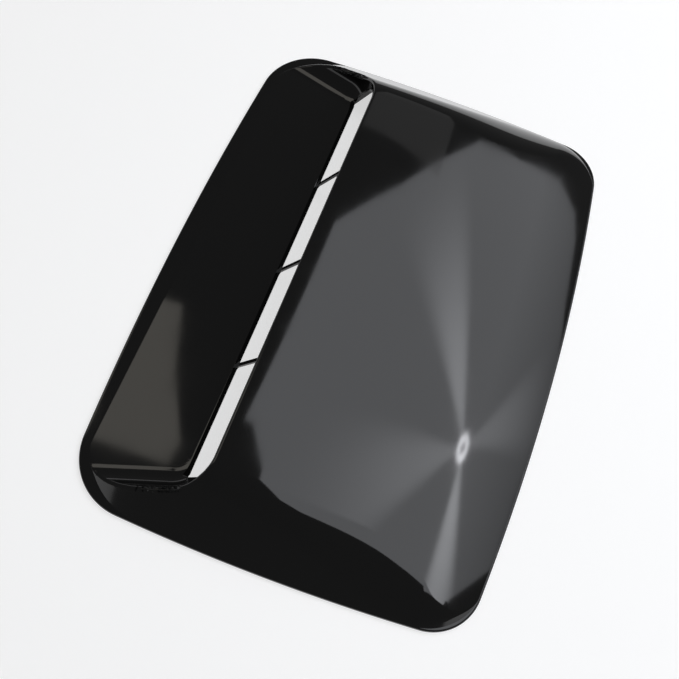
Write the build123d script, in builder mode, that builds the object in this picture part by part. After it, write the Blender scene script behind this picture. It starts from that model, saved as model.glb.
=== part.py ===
"""Stick-on bonnet vent: one thin-walled moulding with a wedge hood, a sunken ramp and an open mouth.

Frame: +X across the car, +Y towards the windscreen, +Z up. The origin is the centre of the flat
underside, so the vent stands on z = 0 as it stands on a bonnet. The mouth looks along -Y.
All sizes are millimetres and degrees.
"""
from build123d import *
from math import cos, hypot, radians, sin, tan
import os

# Rim plate: a bowed rectangle, seen from above
length = 340.0
width = 245.0
front_bow = 6.6
rear_bow = 9.6
front_side_bow = 4.4
rear_side_bow = 5.8
side_peak_y = -8.8
front_corner_radius = 37.0
rear_corner_radius = 29.0
rim_height = 3.0
rim_edge_radius = 1.4

# Hollow underside: wall thickness, and the flat ring left under the rim
wall = 2.5
rim_ring = 11.0

# Hood: leaning side walls, soft shoulders and a crown that falls to the rear rim
hood_side_inset = 6.0
hood_front_radius = 31.5
side_slope = 52.0
shoulder_run = 5.0
hood_height = 34.5
crown_level_run = 6.4
rear_hood_inset = 4.5
rear_hood_height = 4.5
rear_edge_inset = 3.0
rear_edge_draft = 25.0

# Ramp: a plain slope from the front rim up to the mouth
ramp_front_inset = 10.0
ramp_run = 56.0
ramp_rear_height = 7.5

# Pocket that holds the ramp, with a leaning mouth behind and a cheek on each side
mouth_run = 14.1
lip_depth = 3.0
cheek_lip_inset = 20.7
cheek_turn = 18.0
cheek_draft = 10.0
cheek_corner_radius = 25.0
cheek_foot_radius = 14.0

# Mouth: windows between the ramp and the lip, the two at the ends a little wider, and the ribs
# between them set back from the mouth's face
window_count = 4
rib_width = 2.4
rib_recess = 1.3
window_corner_radius = 2.0
mouth_end_inset = 27.0
mouth_end_radius = 11.0
end_window_extra = 4.0

# Rounded edge along the crests of the cheeks and along the lip
crest_radius = 1.8

# Construction: how far the crown's loft runs past what trims it, its stations, the part of a front
# corner's height that narrows, the reach of the cutters, and how near counts as touching
loft_overrun = 1.5
hollow_sink = 1.0
station_count = 7
corner_share = 0.9
window_reach = 12.0
overrun = 30.0
touching = 0.001

# Places that follow from the sizes
hood_half_width = length / 2 - hood_side_inset
ramp_front_y = ramp_front_inset - width / 2
ramp_rear_y = ramp_front_y + ramp_run
lip_y = ramp_rear_y + mouth_run
lip_height = hood_height - lip_depth
crown_start_y = lip_y + crown_level_run
rear_hood_y = width / 2 - rear_hood_inset
hood_rear_y = width / 2 + loft_overrun
hollow_rear_y = width / 2 - rim_ring + loft_overrun
mouth_end_x = hood_half_width - mouth_end_inset
window_pitch = 2 * (mouth_end_x - end_window_extra) / window_count
rib_places = [(n - (window_count - 2) / 2) * window_pitch for n in range(window_count - 1)]

# The hood's front wall rises through the rim's top face where the ramp starts
hood_front_y = ramp_front_y - rim_height / tan(radians(side_slope))


def rim_outline(inset):
    """Bowed rectangle with rounded corners, drawn inside the rim's edge by the inset."""
    half_length, half_width = length / 2 - inset, width / 2 - inset
    long_share = (2 * half_length / length) ** 2
    side_share = (2 * half_width / width) ** 2
    front_x, front_y = half_length - front_side_bow * side_share, front_bow * long_share - half_width
    rear_x, rear_y = half_length - rear_side_bow * side_share, half_width - rear_bow * long_share
    with BuildSketch() as outline:
        with BuildLine():
            ThreePointArc((-front_x, front_y), (0, -half_width), (front_x, front_y))
            ThreePointArc((front_x, front_y), (half_length, side_peak_y), (rear_x, rear_y))
            ThreePointArc((rear_x, rear_y), (0, half_width), (-rear_x, rear_y))
            ThreePointArc((-rear_x, rear_y), (-half_length, side_peak_y), (-front_x, front_y))
        make_face()
        fillet(outline.vertices().sort_by(Axis.Y)[:2], front_corner_radius - inset)
        fillet(outline.vertices().sort_by(Axis.Y)[-2:], rear_corner_radius - inset)
    return outline.sketch


def crown(y):
    """Height of the hood's middle: level above the mouth, then a curved fall to the rear."""
    fall = (rear_hood_y - crown_start_y) ** 2 / (hood_height - rear_hood_height)
    return hood_height - max(y - crown_start_y, 0.0) ** 2 / fall


def hood_section(y, skin, sink):
    """Cross-section of the hood at y, inside its outer face by the skin and down to -sink."""
    top = crown(y)
    slope = tan(radians(side_slope)) * top / hood_height
    lean = skin * hypot(1.0, slope)
    foot_x = hood_half_width - (lean - sink) / slope
    edge_x = hood_half_width - (top - skin + lean) / slope
    edge_z = top - skin
    side_x = edge_x + shoulder_run * cos(radians(side_slope))
    side_z = edge_z - (side_x - edge_x) * slope
    top_x = edge_x - shoulder_run
    with BuildSketch(Plane.XZ.offset(-y)) as section:
        with BuildLine():
            Polyline((-side_x, side_z), (-foot_x, -sink), (foot_x, -sink), (side_x, side_z))
            Bezier((side_x, side_z), (edge_x, edge_z), (top_x, edge_z))
            Line((top_x, edge_z), (-top_x, edge_z))
            Bezier((-top_x, edge_z), (-edge_x, edge_z), (-side_x, side_z))
        make_face()
    return section.sketch


def hood_front(skin, sink):
    """Plan of the hood at z = -sink, with the front corners that its leaning wall rises from."""
    lean = skin / sin(radians(side_slope)) - sink / tan(radians(side_slope))
    half, front_y = hood_half_width - lean, hood_front_y + lean
    with BuildSketch(Plane.XY.offset(-sink)) as front:
        with BuildLine():
            Polyline((-half, front_y), (half, front_y), (half, width), (-half, width), close=True)
        make_face()
        fillet(front.vertices().sort_by(Axis.Y)[:2], hood_front_radius - lean)
    return front.sketch


def hood_body(skin, rear_y, sink):
    """The whole hood as a solid, inside its outer face by the skin."""
    step = (rear_y - crown_start_y) / (station_count - 1)
    sections = [hood_section(crown_start_y + n * step, skin, sink) for n in range(station_count)]
    corner_height = corner_share * (hood_front_radius - skin) * tan(radians(side_slope))
    with BuildPart() as limits:
        extrude(hood_front(skin, sink), amount=corner_height, taper=90 - side_slope)
        extrude(limits.faces().sort_by(Axis.Z)[-1], amount=hood_height)
    with BuildPart() as body:
        loft(sections)
        extrude(sections[0], amount=crown_start_y - hood_front_y + overrun)
        add(limits.part, mode=Mode.INTERSECT)
    return body.part


def pocket_profile(grow):
    """Side view of the pocket: ramp line below, mouth line behind, both moved out by grow."""
    ramp_rise = (ramp_rear_height - rim_height) / ramp_run
    mouth_lean = mouth_run / (lip_height - ramp_rear_height)
    front_y = ramp_front_y - overrun
    front_z = rim_height - overrun * ramp_rise
    top_z = hood_height + overrun
    top_y = lip_y + (top_z - lip_height) * mouth_lean
    with BuildSketch(Plane.YZ) as profile:
        with BuildLine():
            Polyline((front_y, front_z), (ramp_rear_y, ramp_rear_height), (top_y, top_z))
            Polyline((top_y, top_z), (front_y, top_z), (front_y, front_z))
        make_face()
        if grow > 0:
            offset(amount=grow, kind=Kind.INTERSECTION)
    return profile.sketch


def pocket_plan(grow, z):
    """Plan of the pocket at height z: straight cheeks, rounded rear corners and an open front."""
    out = grow / cos(radians(cheek_draft)) + (z - lip_height) * tan(radians(cheek_draft))
    rear_y = lip_y + out
    front_y = ramp_front_y - 2 * overrun
    turn = tan(radians(cheek_turn))
    side_x = hood_half_width - cheek_lip_inset + out / cos(radians(cheek_turn))
    front_x = side_x + (lip_y - front_y) * turn
    rear_x = side_x + (lip_y - rear_y) * turn
    with BuildSketch(Plane.XY.offset(z)) as plan:
        with BuildLine():
            Polyline((-rear_x, rear_y), (-front_x, front_y), (front_x, front_y), (rear_x, rear_y))
            Line((rear_x, rear_y), (-rear_x, rear_y))
        make_face()
        fillet(plan.vertices().sort_by(Axis.Y)[-2:], cheek_corner_radius + out)
    return plan.sketch


def pocket_body(grow):
    """Cutter for the pocket, larger all round by grow, with its cheeks rounded into the ramp."""
    with BuildPart() as body:
        extrude(pocket_plan(grow, -overrun), amount=hood_height + 2 * overrun, taper=-cheek_draft)
        extrude(pocket_profile(grow), amount=length, both=True, mode=Mode.INTERSECT)
        feet = body.faces().sort_by(Axis.Z)[0].edges()
        fillet(feet.filter_by(lambda edge: abs(edge.center().X) > touching), cheek_foot_radius + grow)
    return body.part


def mouth_openings(ribs, depth):
    """Openings between the ribs, in the mouth's leaning plane and sunk behind it by the depth."""
    rise_z = lip_height - ramp_rear_height
    rise = hypot(mouth_run, rise_z)
    lefts = [-mouth_end_x] + [x + rib_width / 2 for x in ribs]
    rights = [x - rib_width / 2 for x in ribs] + [mouth_end_x]
    mouth_plane = Plane((0, ramp_rear_y, ramp_rear_height), (1, 0, 0), (0, -rise_z, mouth_run))
    with BuildSketch(mouth_plane.offset(-depth)) as openings:
        for left, right in zip(lefts, rights):
            with BuildLine():
                Polyline((left, 0), (right, 0), (right, rise), (left, rise), close=True)
            make_face()
        tops = openings.vertices().group_by(Axis.Y)[-1].sort_by(Axis.X)
        ends = [tops[0], tops[-1]]
        fillet([corner for corner in openings.vertices() if corner not in ends], window_corner_radius)
        tops = openings.vertices().group_by(Axis.Y)[-1].sort_by(Axis.X)
        fillet([tops[0], tops[-1]], mouth_end_radius)
    return openings.sketch


hood = hood_body(0.0, hood_rear_y, 0.0)


def on_hood(edge):
    """True for an edge that the pocket cuts in the hood's outer faces."""
    return min(face.distance_to(edge @ 0.5) for face in hood.faces()) < touching


with BuildPart() as shell:
    add(hood)
    extrude(rim_outline(rear_edge_inset), amount=hood_height, taper=rear_edge_draft, mode=Mode.INTERSECT)
    add(pocket_body(0.0), mode=Mode.SUBTRACT)
    fillet([edge for edge in shell.edges(Select.LAST) if on_hood(edge)], crest_radius)

with BuildPart() as rim:
    extrude(rim_outline(0.0), amount=rim_height)
    fillet(rim.faces().sort_by(Axis.Z)[-1].edges(), rim_edge_radius)

with BuildPart() as hollow:
    add(hood_body(wall, hollow_rear_y, hollow_sink))
    extrude(rim_outline(rim_ring), amount=hood_height, both=True, mode=Mode.INTERSECT)
    add(pocket_body(wall), mode=Mode.SUBTRACT)

with BuildPart() as vent_shell:
    add(rim.part)
    add(shell.part)
    add(hollow.part, mode=Mode.SUBTRACT)
    extrude(mouth_openings(rib_places, 0.0), amount=window_reach, both=True, mode=Mode.SUBTRACT)
    extrude(mouth_openings([], rib_recess), amount=window_reach, mode=Mode.SUBTRACT)

os.makedirs("parts", exist_ok=True)
vent_shell.part.label = "vent_shell"
export_step(vent_shell.part, "parts/vent_shell.step")
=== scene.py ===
"""Looks of the bonnet vent: one gloss black moulding on white paper, under a soft box.

The moulding's faces follow their own formulas. Each triangle of the merged CAD copy is given the face
that it lies on, cut finer where that face bends, and shaded with that face's exact normals, so that
reflections run smoothly over the gloss. Lengths in the formulas are millimetres.
"""
from math import cos, hypot, radians, sin, sqrt, tan

import bpy
import numpy as np
from mathutils import Matrix, Vector


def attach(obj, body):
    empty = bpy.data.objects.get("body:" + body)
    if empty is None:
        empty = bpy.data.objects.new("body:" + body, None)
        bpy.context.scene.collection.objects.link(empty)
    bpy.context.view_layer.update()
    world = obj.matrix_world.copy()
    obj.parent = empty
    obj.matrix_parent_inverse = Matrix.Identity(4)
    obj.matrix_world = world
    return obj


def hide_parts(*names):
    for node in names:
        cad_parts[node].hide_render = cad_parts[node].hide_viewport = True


# Rim plate
LENGTH, WIDTH = 340.0, 245.0
FRONT_BOW, REAR_BOW, FRONT_SIDE_BOW, REAR_SIDE_BOW = 6.6, 9.6, 4.4, 5.8
SIDE_PEAK_Y = -8.8
FRONT_RADIUS, REAR_RADIUS = 37.0, 29.0
RIM_HEIGHT, RIM_RADIUS = 3.0, 1.4

# Wall of the moulding, and the flat ring under the rim
WALL, RING = 2.5, 11.0

# Hood of the solid
HOOD_X, HOOD_TOP = LENGTH / 2 - 6.0, 34.5
HOOD_CORNER, HOOD_ANGLE = 31.5, radians(52.0)
HOOD_SLOPE = tan(HOOD_ANGLE)
SHOULDER = 5.0
REAR_EDGE_INSET, REAR_EDGE_DRAFT = 3.0, radians(25.0)

# Hood as it looks: its sides and its crown run out to the rim's edge, and only its rounder corners
# leave some of the rim's top bare; the shoulders grow softer to the rear
FOOT_INSET, FOOT_FRONT_RADIUS, FOOT_REAR_RADIUS, CROWN_INSET = 0.9, 52.0, 33.0, 1.25
SIDE_RISE, SHARP_SHOULDER, FRONT_SHOULDER, REAR_SHOULDER = 1.0, 1.5, 22.0, 120.0
# A shoulder's radius stays under this many times the crown's height over the rim
SHOULDER_ROOM = 3.2

# Ramp, mouth and lip
RAMP_FRONT_Y, RAMP_REAR_Y, RAMP_REAR_Z = 10.0 - WIDTH / 2, 66.0 - WIDTH / 2, 7.5
RAMP_RISE = (RAMP_REAR_Z - RIM_HEIGHT) / (RAMP_REAR_Y - RAMP_FRONT_Y)
MOUTH_RUN, MOUTH_RISE = 14.1, 24.0
LIP_Y, LIP_Z = RAMP_REAR_Y + MOUTH_RUN, HOOD_TOP - 3.0
CROWN_Y, REAR_Y, REAR_Z = LIP_Y + 6.4, WIDTH / 2 - 4.5, 4.5
FALL = (REAR_Y - CROWN_Y) ** 2 / (HOOD_TOP - REAR_Z)
CROWN_RUN = WIDTH / 2 - CROWN_Y
CROWN_FALL = (CROWN_RUN - CROWN_INSET) ** 2 / (HOOD_TOP - RIM_HEIGHT)
HOOD_FRONT_Y = RAMP_FRONT_Y - RIM_HEIGHT / HOOD_SLOPE

# Cheeks, their rounded feet, and the rounded crest
CHEEK_X, CHEEK_TURN, CHEEK_DRAFT = HOOD_X - 20.7, radians(18.0), radians(10.0)
CHEEK_RADIUS, FOOT_RADIUS, CREST_RADIUS = 25.0, 14.0, 1.8

# Windows and ribs of the mouth
MOUTH_END_X = HOOD_X - 27.0
WINDOW_PITCH = (MOUTH_END_X - 4.0) / 2
RIB_WIDTH, RIB_RECESS = 2.4, 1.3
WINDOW_RADIUS, MOUTH_END_RADIUS = 2.0, 11.0

# Fineness: how far a triangle may leave its face, how far its normals may turn, its shortest side, and
# the farthest that a new point may move
FIT, TURN, SHORTEST, REACH, PASSES = 0.004, 0.12, 0.25, 4.0, 7

# Lamp seen in the soft box, in metres: its place, and its ring's radius, half width and glow
LAMP = (-0.333, 0.95, 1.0)
LAMP_RADIUS, LAMP_HALF_WIDTH, LAMP_GLOW = 0.028, 0.012, 16.0
# Its rays: how bright at the lamp and how long, then each one's direction, cosine of its half width,
# and share of the full brightness
RAY_GLOW, RAY_LENGTH = 3.2, 1.0
RAYS = [((-0.59, -0.807, 0.0), 0.96, 1.0), ((0.88, 0.47, 0.0), 0.94, 1.4),
        ((0.411, -0.912, 0.0), 0.95, 0.5), ((-0.512, 0.859, 0.0), 0.95, 0.4)]

# Outlines of the glowing cards, in millimetres
SOFT_BOX = [(-600, -135), (-158, -140), (-150, -95), (-73, 24), (431, 137), (535, 236), (493, 425),
            (479, 592), (120, 1060), (0, 1300), (-60, 1430), (-127, 1569), (-888, 1680), (-1130, 1580),
            (-1400, 1540), (-1475, 1460), (-1420, 1186), (-1186, 763), (-1052, 455), (-996, 393),
            (-753, 103)]
WARM_CARD = [(-370, -1300), (-55, -1300), (-55, -440), (-101, -435), (-160, -467), (-224, -503),
             (-274, -522), (-370, -555)]
DIM_CARD = [(-1800, -180), (-845, -180), (-845, 280), (-1800, 280)]

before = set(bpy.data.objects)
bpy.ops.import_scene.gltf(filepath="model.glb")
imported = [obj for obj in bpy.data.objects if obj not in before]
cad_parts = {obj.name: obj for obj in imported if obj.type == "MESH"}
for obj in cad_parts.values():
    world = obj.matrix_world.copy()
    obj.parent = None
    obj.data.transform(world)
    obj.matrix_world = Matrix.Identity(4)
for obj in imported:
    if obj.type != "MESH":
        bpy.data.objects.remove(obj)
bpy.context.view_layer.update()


def circle_through(a, b, c):
    """Centre and radius of the circle through three points, from its two bisector equations."""
    (ax, ay), (bx, by), (cx, cy) = a, b, c
    double_area = 2 * (ax * (by - cy) + bx * (cy - ay) + cx * (ay - by))
    a2, b2, c2 = ax * ax + ay * ay, bx * bx + by * by, cx * cx + cy * cy
    x = (a2 * (by - cy) + b2 * (cy - ay) + c2 * (ay - by)) / double_area
    y = (a2 * (cx - bx) + b2 * (ax - cx) + c2 * (bx - ax)) / double_area
    return np.array([x, y]), hypot(ax - x, ay - y)


def corner_centre(first, second, radius, near):
    """Centre of a corner arc that rolls inside two circles: the radius nearer to both their centres."""
    (c1, r1), (c2, r2) = first, second
    r1, r2 = r1 - radius, r2 - radius
    apart = np.hypot(*(c2 - c1))
    along = (r1 * r1 - r2 * r2 + apart * apart) / (2 * apart)
    foot = c1 + (c2 - c1) * along / apart
    side = np.array([c1[1] - c2[1], c2[0] - c1[0]]) / apart * sqrt(r1 * r1 - along * along)
    return min((foot + side, foot - side), key=lambda centre: np.hypot(*(centre - near)))


def rim_arcs(inset, front_radius, rear_radius):
    """Three bows and two corner arcs that make the right half of the rim's outline, inside by the inset."""
    half_length, half_width = LENGTH / 2 - inset, WIDTH / 2 - inset
    long_share, side_share = (2 * half_length / LENGTH) ** 2, (2 * half_width / WIDTH) ** 2
    front = np.array([half_length - FRONT_SIDE_BOW * side_share, FRONT_BOW * long_share - half_width])
    rear = np.array([half_length - REAR_SIDE_BOW * side_share, half_width - REAR_BOW * long_share])
    front_bow = circle_through(front * (-1, 1), (0, -half_width), front)
    side_bow = circle_through(front, (half_length, SIDE_PEAK_Y), rear)
    rear_bow = circle_through(rear, (0, half_width), rear * (-1, 1))
    corners = [(corner_centre(front_bow, side_bow, front_radius, front), front_radius, front_bow, side_bow),
               (corner_centre(side_bow, rear_bow, rear_radius, rear), rear_radius, side_bow, rear_bow)]
    return (front_bow, side_bow, rear_bow), corners


ARCS = {inset: rim_arcs(inset, FRONT_RADIUS - inset, REAR_RADIUS - inset)
        for inset in (0.0, REAR_EDGE_INSET, RING)}
ARCS[FOOT_INSET] = rim_arcs(FOOT_INSET, FOOT_FRONT_RADIUS, FOOT_REAR_RADIUS)


def plan(p, inset):
    """Distance outside an outline in plan, from the farthest of the bows or a corner's arc, and its slope."""
    x, y = np.abs(p[:, 0]), p[:, 1]
    bows, corners = ARCS[inset]
    away, nx, ny = np.full(len(p), -1e9), np.zeros(len(p)), np.zeros(len(p))
    for centre, radius in bows:
        reach = np.hypot(x - centre[0], y - centre[1])
        farther = reach - radius > away
        away = np.where(farther, reach - radius, away)
        nx, ny = np.where(farther, (x - centre[0]) / reach, nx), np.where(farther, (y - centre[1]) / reach, ny)
    for centre, radius, before, after in corners:
        u, v = centre - before[0], centre - after[0]
        px, py = x - centre[0], y - centre[1]
        reach = np.maximum(np.hypot(px, py), 1e-9)
        in_corner = (u[0] * py - u[1] * px > 0) & (px * v[1] - py * v[0] > 0)
        away = np.where(in_corner, reach - radius, away)
        nx, ny = np.where(in_corner, px / reach, nx), np.where(in_corner, py / reach, ny)
    return away, nx, ny


def plan_distance(p, inset):
    """Distance outside an outline in plan."""
    return plan(p, inset)[0]


def rounded(a, b, dot, radius):
    """Edge between two faces rounded by a ball: a and b are the distances to them, dot their normals' product.

    In the wedge beyond both lines of touch the distance is measured from the ball's own centre line.
    """
    a, b = a + radius, b + radius
    square = 1 - dot * dot
    u, v = (a - dot * b) / square, (b - dot * a) / square
    arc = np.sqrt(np.maximum((a * a + b * b - 2 * dot * a * b) / square, 1e-12))
    return np.where((u > 0) & (v > 0), arc, np.maximum(a, b)) - radius


def underside(p):
    """The plane z = 0, facing down."""
    return -p[:, 2]


def rim(p):
    """The rim plate's upright edge and flat top, with the rounding between them."""
    return rounded(plan_distance(p, 0.0), p[:, 2] - RIM_HEIGHT, 0.0, RIM_RADIUS)


def rear_edge(p):
    """The rear step: the outline 3 mm inside the rim's, leaning in as it rises."""
    lean = plan_distance(p, REAR_EDGE_INSET) + p[:, 2] * tan(REAR_EDGE_DRAFT)
    return lean * cos(REAR_EDGE_DRAFT)


def hollow_ring(p):
    """The upright wall inside the flat ring."""
    return -plan_distance(p, RING)


def hood(p):
    """The hood as it looks: sides that lean in from the rim's edge, a crown that falls as a parabola.

    The crown's run is counted from the rear bow, so that it meets the whole rear edge at one height. The
    shoulder is a ball's rounding. Its radius grows to the rear, within the room under the crown, and
    fades towards the rear edge: its share is r^2 / (r^2 + s^2), where r and s are the distances to the
    rear bow and to the side bow.
    """
    away, nx, ny = plan(p, FOOT_INSET)
    side = (away * SIDE_RISE + p[:, 2] - RIM_HEIGHT) / hypot(1.0, SIDE_RISE)
    centre, rear_radius = ARCS[0.0][0][2]
    x, y = np.abs(p[:, 0]) - centre[0], p[:, 1] - centre[1]
    reach = np.hypot(x, y)
    run = np.maximum(reach - rear_radius + CROWN_RUN, 0.0)
    steep = 2 * run / CROWN_FALL
    norm = np.hypot(1.0, steep)
    crown = (p[:, 2] - HOOD_TOP + run * run / CROWN_FALL) / norm
    dot = (1 + SIDE_RISE * steep * (nx * x + ny * y) / reach) / (norm * hypot(1.0, SIDE_RISE))
    aback = (reach - rear_radius) ** 2
    bow, bow_radius = ARCS[0.0][0][1]
    beside = (np.hypot(np.abs(p[:, 0]) - bow[0], p[:, 1] - bow[1]) - bow_radius) ** 2
    share = np.clip(run / CROWN_RUN, 0, 1) ** 2
    soft = FRONT_SHOULDER + (REAR_SHOULDER - FRONT_SHOULDER) * share
    room = SHOULDER_ROOM * (HOOD_TOP - RIM_HEIGHT) * (1.001 - share)
    soft = (soft ** -4 + room ** -4) ** -0.25
    radius = SHARP_SHOULDER + soft * aback / (aback + beside + 1)
    return rounded(side, crown, np.minimum(dot, 0.999), radius)


def solid_hood(p, skin=0.0):
    """The solid's hood, moved in by the skin: leaning sides, a falling crown, narrow shoulders.

    The sides' slope is in proportion to the crown's height. The front corners are cones. A shoulder is
    the parabola that touches side and crown: (a - b)^2 - 2 (a + b) + 1 = 0, where a and b run from the
    sharp edge down the side and in along the crown.
    """
    x, y, z = np.abs(p[:, 0]), p[:, 1], p[:, 2]
    run = np.maximum(y - CROWN_Y, 0.0)
    top = HOOD_TOP - run * run / FALL
    slope = HOOD_SLOPE * top / HOOD_TOP
    norm = np.hypot(1.0, slope)
    edge_z = top - skin
    edge_x = HOOD_X - (edge_z + skin * norm) / slope
    leg = SHOULDER * cos(HOOD_ANGLE)
    a = (edge_z - z) / (leg * slope)
    b = (edge_x + a * leg - x) / SHOULDER
    across, ahead = x - (HOOD_X - HOOD_CORNER), HOOD_FRONT_Y + HOOD_CORNER - y
    plan = np.hypot(np.maximum(across, 0), np.maximum(ahead, 0)) - HOOD_CORNER
    plan = plan + np.minimum(np.maximum(across, ahead), 0)
    side = (np.where(ahead > 0, plan, x - HOOD_X) * slope + z) / norm + skin
    crown = (z - edge_z) / np.hypot(1.0, 2 * run / FALL)
    bend = ((a - b) ** 2 - 2 * (a + b) + 1) * SHOULDER / 4
    return np.where((a < 1) & (b < 1), bend, np.maximum(side, crown))


def cheek_plan(p):
    """Distance in plan to the cheeks at the lip's height, and how far their normal points to the rear."""
    x, y = np.abs(p[:, 0]) - CHEEK_X, p[:, 1] - LIP_Y
    nx, ny = cos(CHEEK_TURN), sin(CHEEK_TURN)
    side = x * nx + y * ny
    px, py = x - CHEEK_RADIUS * (ny - 1) / nx, y + CHEEK_RADIUS
    in_corner = (px > 0) & (nx * py - ny * px > 0)
    radius = np.hypot(px, py)
    plan = np.where(in_corner, radius - CHEEK_RADIUS, np.maximum(side, y))
    return plan, np.where(in_corner, py / np.maximum(radius, 1e-9), np.where(side > y, ny, 1.0))


def pocket(p, grow=0.0):
    """The cheeks and the ramp, with the cheeks' feet rounded into the ramp, moved out by grow."""
    plan, backward = cheek_plan(p)
    cheek = (plan - (p[:, 2] - LIP_Z) * tan(CHEEK_DRAFT)) * cos(CHEEK_DRAFT)
    norm = hypot(1.0, RAMP_RISE)
    ramp = ((p[:, 1] - RAMP_FRONT_Y) * RAMP_RISE - (p[:, 2] - RIM_HEIGHT)) / norm
    dot = (cos(CHEEK_DRAFT) * backward * RAMP_RISE + sin(CHEEK_DRAFT)) / norm
    return rounded(cheek, ramp, dot, FOOT_RADIUS) - grow


def mouth(p):
    """The mouth's leaning plane, counted to the rear."""
    lean = MOUTH_RUN / MOUTH_RISE
    return ((p[:, 1] - RAMP_REAR_Y) - (p[:, 2] - RAMP_REAR_Z) * lean) / hypot(1.0, lean)


def gradient(face, p, step=0.004):
    """Slope of a face's formula at the points, by central differences."""
    slope = np.empty_like(p)
    for axis, offset in enumerate(np.eye(3) * step):
        slope[:, axis] = (face(p + offset) - face(p - offset)) / (2 * step)
    return slope


def crest_parts(p, top):
    """Distances to the top face and to the pocket, and the dot product of their outward normals."""
    slope = gradient(top, p)
    steepness = np.maximum(np.linalg.norm(slope, axis=1), 1e-6)
    dot = -(slope * gradient(pocket, p)).sum(axis=1) / steepness
    return top(p) / steepness, -pocket(p), np.clip(dot, -0.97, 0.97)


def crest(p):
    """The rounding along the crests of the cheeks and along the lip, between hood and pocket."""
    return rounded(*crest_parts(p, hood), CREST_RADIUS)


def solid_crest(p):
    """The same rounding on the solid's hood."""
    return rounded(*crest_parts(p, solid_hood), CREST_RADIUS)


def short_of_crest(p):
    """How far a point lies outside the wedge that the solid's crest rounding fills."""
    a, b, dot = crest_parts(p, solid_hood)
    a, b = a + CREST_RADIUS, b + CREST_RADIUS
    return np.maximum(-np.minimum(a - dot * b, b - dot * a), 0)


def window(p):
    """Walls of the nearest opening: a rounded rectangle in the mouth's plane, solid side positive inside."""
    rise = hypot(MOUTH_RUN, MOUTH_RISE)
    up = ((p[:, 1] - RAMP_REAR_Y) * MOUTH_RUN + (p[:, 2] - RAMP_REAR_Z) * MOUTH_RISE) / rise - rise / 2
    x, best = np.abs(p[:, 0]), np.full(len(p), 1e3)
    rib = RIB_WIDTH / 2
    for left, right in ((-MOUTH_END_X, MOUTH_END_X), (rib, WINDOW_PITCH - rib),
                        (WINDOW_PITCH + rib, MOUTH_END_X)):
        across = x - (left + right) / 2
        end = (across > 0) & (up > 0) & (right == MOUTH_END_X)
        radius = np.where(end, MOUTH_END_RADIUS, WINDOW_RADIUS)
        u, v = np.abs(across) - (right - left) / 2 + radius, np.abs(up) - rise / 2 + radius
        away = np.hypot(np.maximum(u, 0), np.maximum(v, 0)) + np.minimum(np.maximum(u, v), 0) - radius
        best = np.where(np.abs(away) < np.abs(best), away, best)
    return -best


def lined_pocket(p):
    """The pocket seen from the hollow, a wall's thickness outside it."""
    return pocket(p, WALL)


# The faces of the solid, each beside the face that it is drawn on
PAIRS = [(rim, rim), (solid_hood, hood), (rear_edge, hood), (lambda p: -pocket(p),) * 2,
         (lambda p: -mouth(p),) * 2, (lambda p: RIB_RECESS - mouth(p),) * 2, (window, window),
         (solid_crest, crest), (underside, underside),
         (lambda p: -solid_hood(p, WALL), lambda p: -hood(p) - WALL),
         (hollow_ring, hollow_ring), (lined_pocket, lined_pocket), (lambda p: mouth(p) - WALL,) * 2]
SOLID_FACES, FACES = zip(*PAIRS)
# Places in that list; from the underside on, the faces are the hollow's
RIM, HOOD, POCKET, CREST, UNDERSIDE, HOLLOW_HOOD, HOLLOW_RING = 0, 1, 3, 7, 8, 9, 10


def unit(v):
    """Vectors scaled to length one."""
    return v / np.maximum(np.linalg.norm(v, axis=1), 1e-9)[:, None]


def merged_copy(mesh):
    """Points, in millimetres, and triangles of a CAD mesh with its touching corners joined."""
    mesh.calc_loop_triangles()
    points = np.empty(len(mesh.vertices) * 3)
    triangles = np.empty(len(mesh.loop_triangles) * 3, np.int32)
    mesh.vertices.foreach_get("co", points)
    mesh.loop_triangles.foreach_get("vertices", triangles)
    points, triangles = points.reshape(-1, 3) * 1000, triangles.reshape(-1, 3)
    _, first, place = np.unique(np.round(points, 3), axis=0, return_index=True, return_inverse=True)
    triangles = place.ravel()[triangles]
    return points[first], triangles[(triangles != np.roll(triangles, 1, axis=1)).all(axis=1)]


def nearest_face(points, triangles):
    """Number of the face that each triangle lies on: least distance, plus a share for facing elsewhere."""
    corners = points[triangles]
    flat = unit(np.cross(corners[:, 1] - corners[:, 0], corners[:, 2] - corners[:, 0]))
    cost = []
    for face in SOLID_FACES:
        away = np.abs(face(points)) / np.maximum(np.linalg.norm(gradient(face, points), axis=1), 1e-6)
        if face is solid_crest:
            away += 10 * np.maximum(short_of_crest(points) - 0.03, 0)
        facing = unit(gradient(face, corners.mean(axis=1)))
        cost.append(away[triangles].max(axis=1) + 0.3 * (1 - (facing * flat).sum(axis=1)))
    nearest = np.argmin(cost, axis=0)
    # The solid's crest runs on, almost flat, along the ramp's front: that strip is drawn as the ramp
    middle = corners.mean(axis=1)
    strip = (nearest == CREST) & (middle[:, 1] < RAMP_FRONT_Y + 1.5) & (np.abs(middle[:, 0]) < 120)
    nearest = np.where(strip, POCKET, nearest)
    # Under the ramp's front the solid's hollow has a chamfer: it is drawn as the ring's upright wall
    chamfer = (nearest == HOLLOW_HOOD) & (middle[:, 1] < RAMP_FRONT_Y + 4) & (middle[:, 2] < 2)
    return np.where(chamfer, HOLLOW_RING, nearest)


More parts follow.
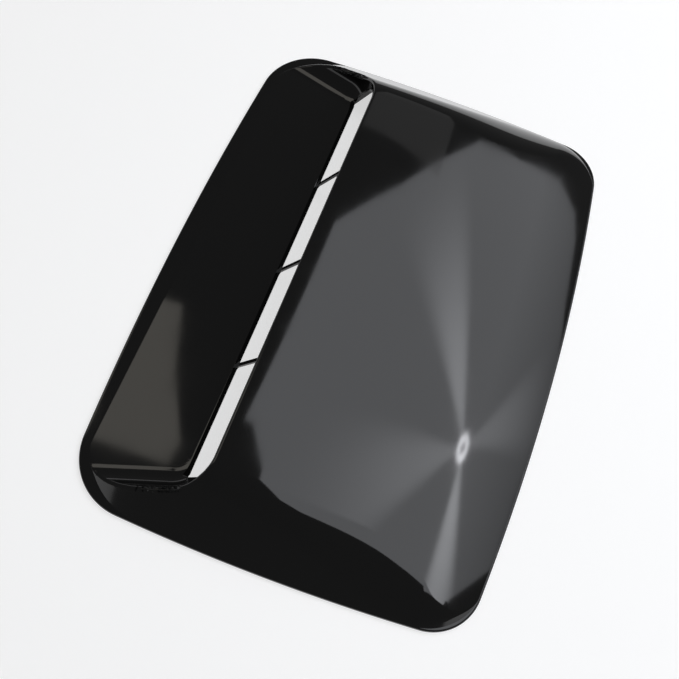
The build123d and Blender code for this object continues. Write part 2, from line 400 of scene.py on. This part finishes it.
def settle(points, members, sweeps=6):
    """Slides points down the slope of each face they belong to, in turn, until they lie on all of them."""
    points = points.copy()
    shared = members.sum(axis=1) > 1
    for sweep in range(sweeps):
        for face, own in zip(FACES, members.T):
            own = own & shared if sweep > max(1, sweeps - 4) else own
            if own.any():
                slope = gradient(face, points[own])
                step = -(face(points[own]) / np.maximum((slope ** 2).sum(axis=1), 1e-6))[:, None] * slope
                size = np.maximum(np.linalg.norm(step, axis=1), 1e-9)[:, None]
                points[own] += step * np.minimum(1, 0.4 / size)
    return points


def cut(triangles, faces, middles, points):
    """Cuts each triangle at the middles of its marked sides: in two, three or four."""
    marks = ((middles >= 0) * (1, 2, 4)).sum(axis=1)
    pieces, numbers = [triangles[marks == 0]], [faces[marks == 0]]
    for mark in range(1, 8):
        own = marks == mark
        turn = {1: 0, 2: 1, 4: 2, 3: 0, 6: 1, 5: 2, 7: 0}[mark]
        (a, b, c), (ab, bc, ca) = (np.roll(q[own], -turn, axis=1).T for q in (triangles, middles))
        if mark == 7:
            new = [(a, ab, ca), (ab, b, bc), (ca, bc, c), (ab, bc, ca)]
        elif mark in (1, 2, 4):
            new = [(a, ab, c), (ab, b, c)]
        else:
            short = (np.linalg.norm(points[ab] - points[c], axis=1)
                     < np.linalg.norm(points[bc] - points[a], axis=1))
            new = [(ab, b, bc), (a, ab, np.where(short, c, bc)), (np.where(short, ab, a), bc, c)]
        for piece in new:
            pieces.append(np.stack(piece, axis=1))
            numbers.append(faces[own])
    return np.concatenate(pieces), np.concatenate(numbers)


def edge_table(triangles, faces):
    """The edges, the edge on each triangle's three sides, and the faces that each edge belongs to."""
    sides = np.sort(triangles[:, [[0, 1], [1, 2], [2, 0]]].reshape(-1, 2), axis=1)
    edges, which = np.unique(sides, axis=0, return_inverse=True)
    members = np.zeros((len(edges), len(FACES)), bool)
    members[which.ravel(), np.repeat(faces, 3)] = True
    return edges, which.reshape(-1, 3), members


def refine(points, triangles, faces):
    """Halves the sides that leave their face or turn too far, and sets the new points on the faces."""
    checked = 0
    for _ in range(PASSES):
        edges, which, members = edge_table(triangles, faces)
        fresh = edges[:, 1] >= checked
        checked = len(points)
        ends, own = points[edges[fresh]], members[fresh]
        middle = ends.mean(axis=1)
        length = np.linalg.norm(ends[:, 0] - ends[:, 1], axis=1)
        moved = settle(middle, own)
        off = np.linalg.norm(moved - middle, axis=1)
        moved = np.where((off < np.minimum(0.3 * length, REACH))[:, None], moved, middle)
        bend = np.zeros(len(middle))
        for face, on in zip(FACES, own.T):
            if on.any() and face is not underside:
                first, last = (unit(gradient(face, ends[on, n] * 0.98 + middle[on] * 0.02)) for n in (0, 1))
                bend[on] = np.maximum(bend[on], np.linalg.norm(first - last, axis=1))
        split = ((off > FIT) | ((bend > TURN) & (length > 0.35))) & (length > SHORTEST)
        if not split.any():
            break
        number = np.full(len(edges), -1)
        number[np.flatnonzero(fresh)[split]] = len(points) + np.arange(split.sum())
        points = np.r_[points, moved[split]]
        triangles, faces = cut(triangles, faces, number[which], points)
    return points, triangles, faces


def corner_normals(points, triangles, faces):
    """Each corner's normal is its own face's slope there; a crease keeps two normals."""
    corners = points[triangles]
    flat = unit(np.cross(corners[:, 1] - corners[:, 0], corners[:, 2] - corners[:, 0]))
    inside = corners * 0.99 + corners.mean(axis=1, keepdims=True) * 0.01
    normals = np.repeat(flat[:, None, :], 3, axis=1)
    for number, face in enumerate(FACES):
        own = faces == number
        facing = unit(gradient(face, inside[own].reshape(-1, 3)))
        plain = normals[own].reshape(-1, 3)
        agree = (facing * plain).sum(axis=1) > 0.3
        normals[own] = np.where(agree[:, None], facing, plain).reshape(-1, 3, 3)
    return normals.reshape(-1, 3)


def colour(code):
    """Linear RGBA of a six-figure sRGB code."""
    parts = [int(code[n:n + 2], 16) / 255 for n in (0, 2, 4)]
    return [c / 12.92 if c <= 0.04045 else ((c + 0.055) / 1.055) ** 2.4 for c in parts] + [1.0]


def add_node(tree, kind, settings=None, **inputs):
    """New shader node with its settings, and its inputs set to a value or linked to an output."""
    node = tree.nodes.new(kind)
    for name, value in (settings or {}).items():
        setattr(node, name, value)
    for name, value in inputs.items():
        socket = node.inputs[int(name[1:]) if name[0] == "_" else name.replace("_", " ")]
        if isinstance(value, bpy.types.NodeSocket):
            tree.links.new(value, socket)
        else:
            socket.default_value = value
    return node


def new_material(name):
    """Material with its node tree and its Principled shader."""
    material = bpy.data.materials.new(name)
    material.use_nodes = True
    return material, material.node_tree, material.node_tree.nodes["Principled BSDF"]


def gloss_black_abs():
    """Injection-moulded black ABS, mirror-like outside, with a faintly uneven polish."""
    material, tree, plastic = new_material("gloss_black_abs")
    plastic.inputs["Base Color"].default_value = colour("080808")
    plastic.inputs["IOR"].default_value = 1.5
    place = add_node(tree, "ShaderNodeTexCoord").outputs["Object"]
    haze = add_node(tree, "ShaderNodeTexNoise", Vector=place, Scale=40.0, Detail=3.0)
    gloss = add_node(tree, "ShaderNodeMapRange", Value=haze.outputs["Fac"],
                     From_Min=0.3, From_Max=0.7, To_Min=0.045, To_Max=0.075)
    tree.links.new(gloss.outputs["Result"], plastic.inputs["Roughness"])
    return material


def satin_black_abs():
    """The same ABS inside the hollow, where the mould's core is left with a dull spark finish."""
    material, tree, plastic = new_material("satin_black_abs")
    plastic.inputs["Base Color"].default_value = colour("0d0d0e")
    plastic.inputs["IOR"].default_value = 1.5
    place = add_node(tree, "ShaderNodeTexCoord").outputs["Object"]
    grain = add_node(tree, "ShaderNodeTexNoise", Vector=place, Scale=900.0, Detail=2.0)
    gloss = add_node(tree, "ShaderNodeMapRange", Value=grain.outputs["Fac"],
                     From_Min=0.3, From_Max=0.7, To_Min=0.38, To_Max=0.52)
    tree.links.new(gloss.outputs["Result"], plastic.inputs["Roughness"])
    bump = add_node(tree, "ShaderNodeBump", Height=grain.outputs["Fac"], Strength=0.15, Distance=0.0002)
    tree.links.new(bump.outputs["Normal"], plastic.inputs["Normal"])
    return material


def mesh_object(name, points, faces, *materials):
    """Mesh object at the origin with its place in its vertices."""
    mesh = bpy.data.meshes.new(name)
    mesh.from_pydata(points, [], faces)
    for material in materials:
        mesh.materials.append(material)
    item = bpy.data.objects.new(name, mesh)
    bpy.context.scene.collection.objects.link(item)
    return item


def vent_moulding():
    """The whole moulding, on its exact faces."""
    points, triangles = merged_copy(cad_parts["vent_shell"].data)
    faces = nearest_face(points, triangles)
    edges, _, members = edge_table(triangles, faces)
    belongs = np.zeros((len(points), len(FACES)), bool)
    for end in edges.T:
        np.logical_or.at(belongs, end, members)
    # Where the drawn hood covers the rim's top, outside the pocket, the rim's points lie on it too
    covered = (plan_distance(points, 0.0) < -0.6) & (points[:, 2] > 2.0) & (hood(points) < 0)
    covered &= pocket(points) > 0.3
    belongs[:, HOOD] |= belongs[:, RIM] & covered
    points = settle(points, belongs, 50)
    points, triangles, faces = refine(points, triangles, faces)
    item = mesh_object("vent_moulding", points / 1000, triangles, gloss_black_abs(), satin_black_abs())
    mesh = item.data
    mesh.polygons.foreach_set("material_index", (faces >= UNDERSIDE).astype(np.int32))
    mesh.shade_smooth()
    mesh.normals_split_custom_set(corner_normals(points, triangles, faces))
    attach(item, "root")
    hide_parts("vent_shell")
    return item


def photo_camera():
    """Camera at the photograph's place: its axes and centre in the vent's own frame."""
    data = bpy.data.cameras.new("photo_camera")
    data.sensor_width = 36.0
    data.lens = 36.0 * 800 / 679
    data.clip_start = 0.01
    data.clip_end = 30.0
    item = bpy.data.objects.new("photo_camera", data)
    bpy.context.scene.collection.objects.link(item)
    right = Vector((-0.3392, 0.9365, 0.0888))
    up = Vector((-0.8568, -0.3465, 0.3818))
    back = Vector((0.3884, 0.0534, 0.9200))
    place = Matrix((right, up, back)).transposed().to_4x4()
    place.translation = Vector((0.2126, 0.0195, 0.4414))
    item.matrix_world = place
    bpy.context.scene.camera = item


def table():
    """White paper, with a glow that only camera, glossy and transmission rays see."""
    material, tree, paper = new_material("white_paper")
    paper.inputs["Base Color"].default_value = colour("b4b4b4")
    paper.inputs["Emission Color"].default_value = colour("ffffff")
    seen = add_node(tree, "ShaderNodeLightPath")
    either = add_node(tree, "ShaderNodeMath", {"operation": "MAXIMUM"},
                      _0=seen.outputs["Is Camera Ray"], _1=seen.outputs["Is Glossy Ray"])
    either = add_node(tree, "ShaderNodeMath", {"operation": "MAXIMUM"},
                      _0=either.outputs[0], _1=seen.outputs["Is Transmission Ray"])
    glow = add_node(tree, "ShaderNodeMath", {"operation": "MULTIPLY"}, _0=either.outputs[0], _1=0.62)
    tree.links.new(glow.outputs[0], paper.inputs["Emission Strength"])
    paper.inputs["Roughness"].default_value = 0.9
    paper.inputs["Specular IOR Level"].default_value = 0.0
    corners = [(-6, -6, -0.0003), (6, -6, -0.0003), (6, 6, -0.0003), (-6, 6, -0.0003)]
    mesh_object("table_top", corners, [(0, 1, 2, 3)], material)


def light_card(name, outline, strength, tint, lamp=False):
    """Flat glowing card one metre over the table, facing down; the camera looks past it."""
    material = bpy.data.materials.new(name)
    material.use_nodes = True
    tree = material.node_tree
    tree.nodes.clear()
    glow = add_node(tree, "ShaderNodeEmission", Color=colour(tint), Strength=strength)
    if lamp:
        tree.links.new(lamp_behind(tree, strength), glow.inputs["Strength"])
    add_node(tree, "ShaderNodeOutputMaterial", Surface=glow.outputs["Emission"])
    corners = [(x / 1000, y / 1000, 1.0) for x, y in outline]
    item = mesh_object(name, corners, [tuple(range(len(corners)))], material)
    item.visible_camera = False


def lamp_behind(tree, strength):
    """The card's strength, duller at the rear, with its lamp behind it: a bright ring with soft rays."""
    def vector(operation, **inputs):
        return add_node(tree, "ShaderNodeVectorMath", {"operation": operation}, **inputs).outputs

    def number(operation, **inputs):
        return add_node(tree, "ShaderNodeMath", {"operation": operation}, **inputs).outputs[0]

    def ramp(interpolation, value, low, high, first, last):
        return add_node(tree, "ShaderNodeMapRange", {"interpolation_type": interpolation}, Value=value,
                        From_Min=low, From_Max=high, To_Min=first, To_Max=last).outputs["Result"]

    place = add_node(tree, "ShaderNodeTexCoord").outputs["Object"]
    y = add_node(tree, "ShaderNodeSeparateXYZ", Vector=place).outputs["Y"]
    total = ramp("LINEAR", y, 1.0, 1.6, strength, 0.6 * strength)
    off = vector("SUBTRACT", _0=place, _1=LAMP)[0]
    away = vector("LENGTH", _0=off)["Value"]
    aim = vector("NORMALIZE", _0=off)[0]
    fade = ramp("SMOOTHERSTEP", away, 0.0, RAY_LENGTH, RAY_GLOW, 0.0)
    ring = number("COMPARE", _0=away, _1=LAMP_RADIUS, _2=LAMP_HALF_WIDTH)
    total = number("MULTIPLY_ADD", _0=ring, _1=LAMP_GLOW, _2=total)
    for ray, wide, share in RAYS:
        along = vector("DOT_PRODUCT", _0=aim, _1=ray)["Value"]
        soft = ramp("SMOOTHSTEP", along, wide, 1.0, 0.0, share)
        total = number("MULTIPLY_ADD", _0=soft, _1=fade, _2=total)
    return total


def light():
    """A large soft box over the rear, a smaller warm card over the front, and a dim room."""
    world = bpy.data.worlds.new("room")
    bpy.context.scene.world = world
    world.use_nodes = True
    world.node_tree.nodes["Background"].inputs["Color"].default_value = colour("ffffff")
    world.node_tree.nodes["Background"].inputs["Strength"].default_value = 0.15
    light_card("soft_box", SOFT_BOX, 2.1, "f8faff", lamp=True)
    light_card("warm_card", WARM_CARD, 1.4, "fffaf0")
    light_card("dim_card", DIM_CARD, 0.45, "ffffff")


vent_moulding()
photo_camera()
table()
light()
bpy.context.scene.view_settings.view_transform = "Standard"
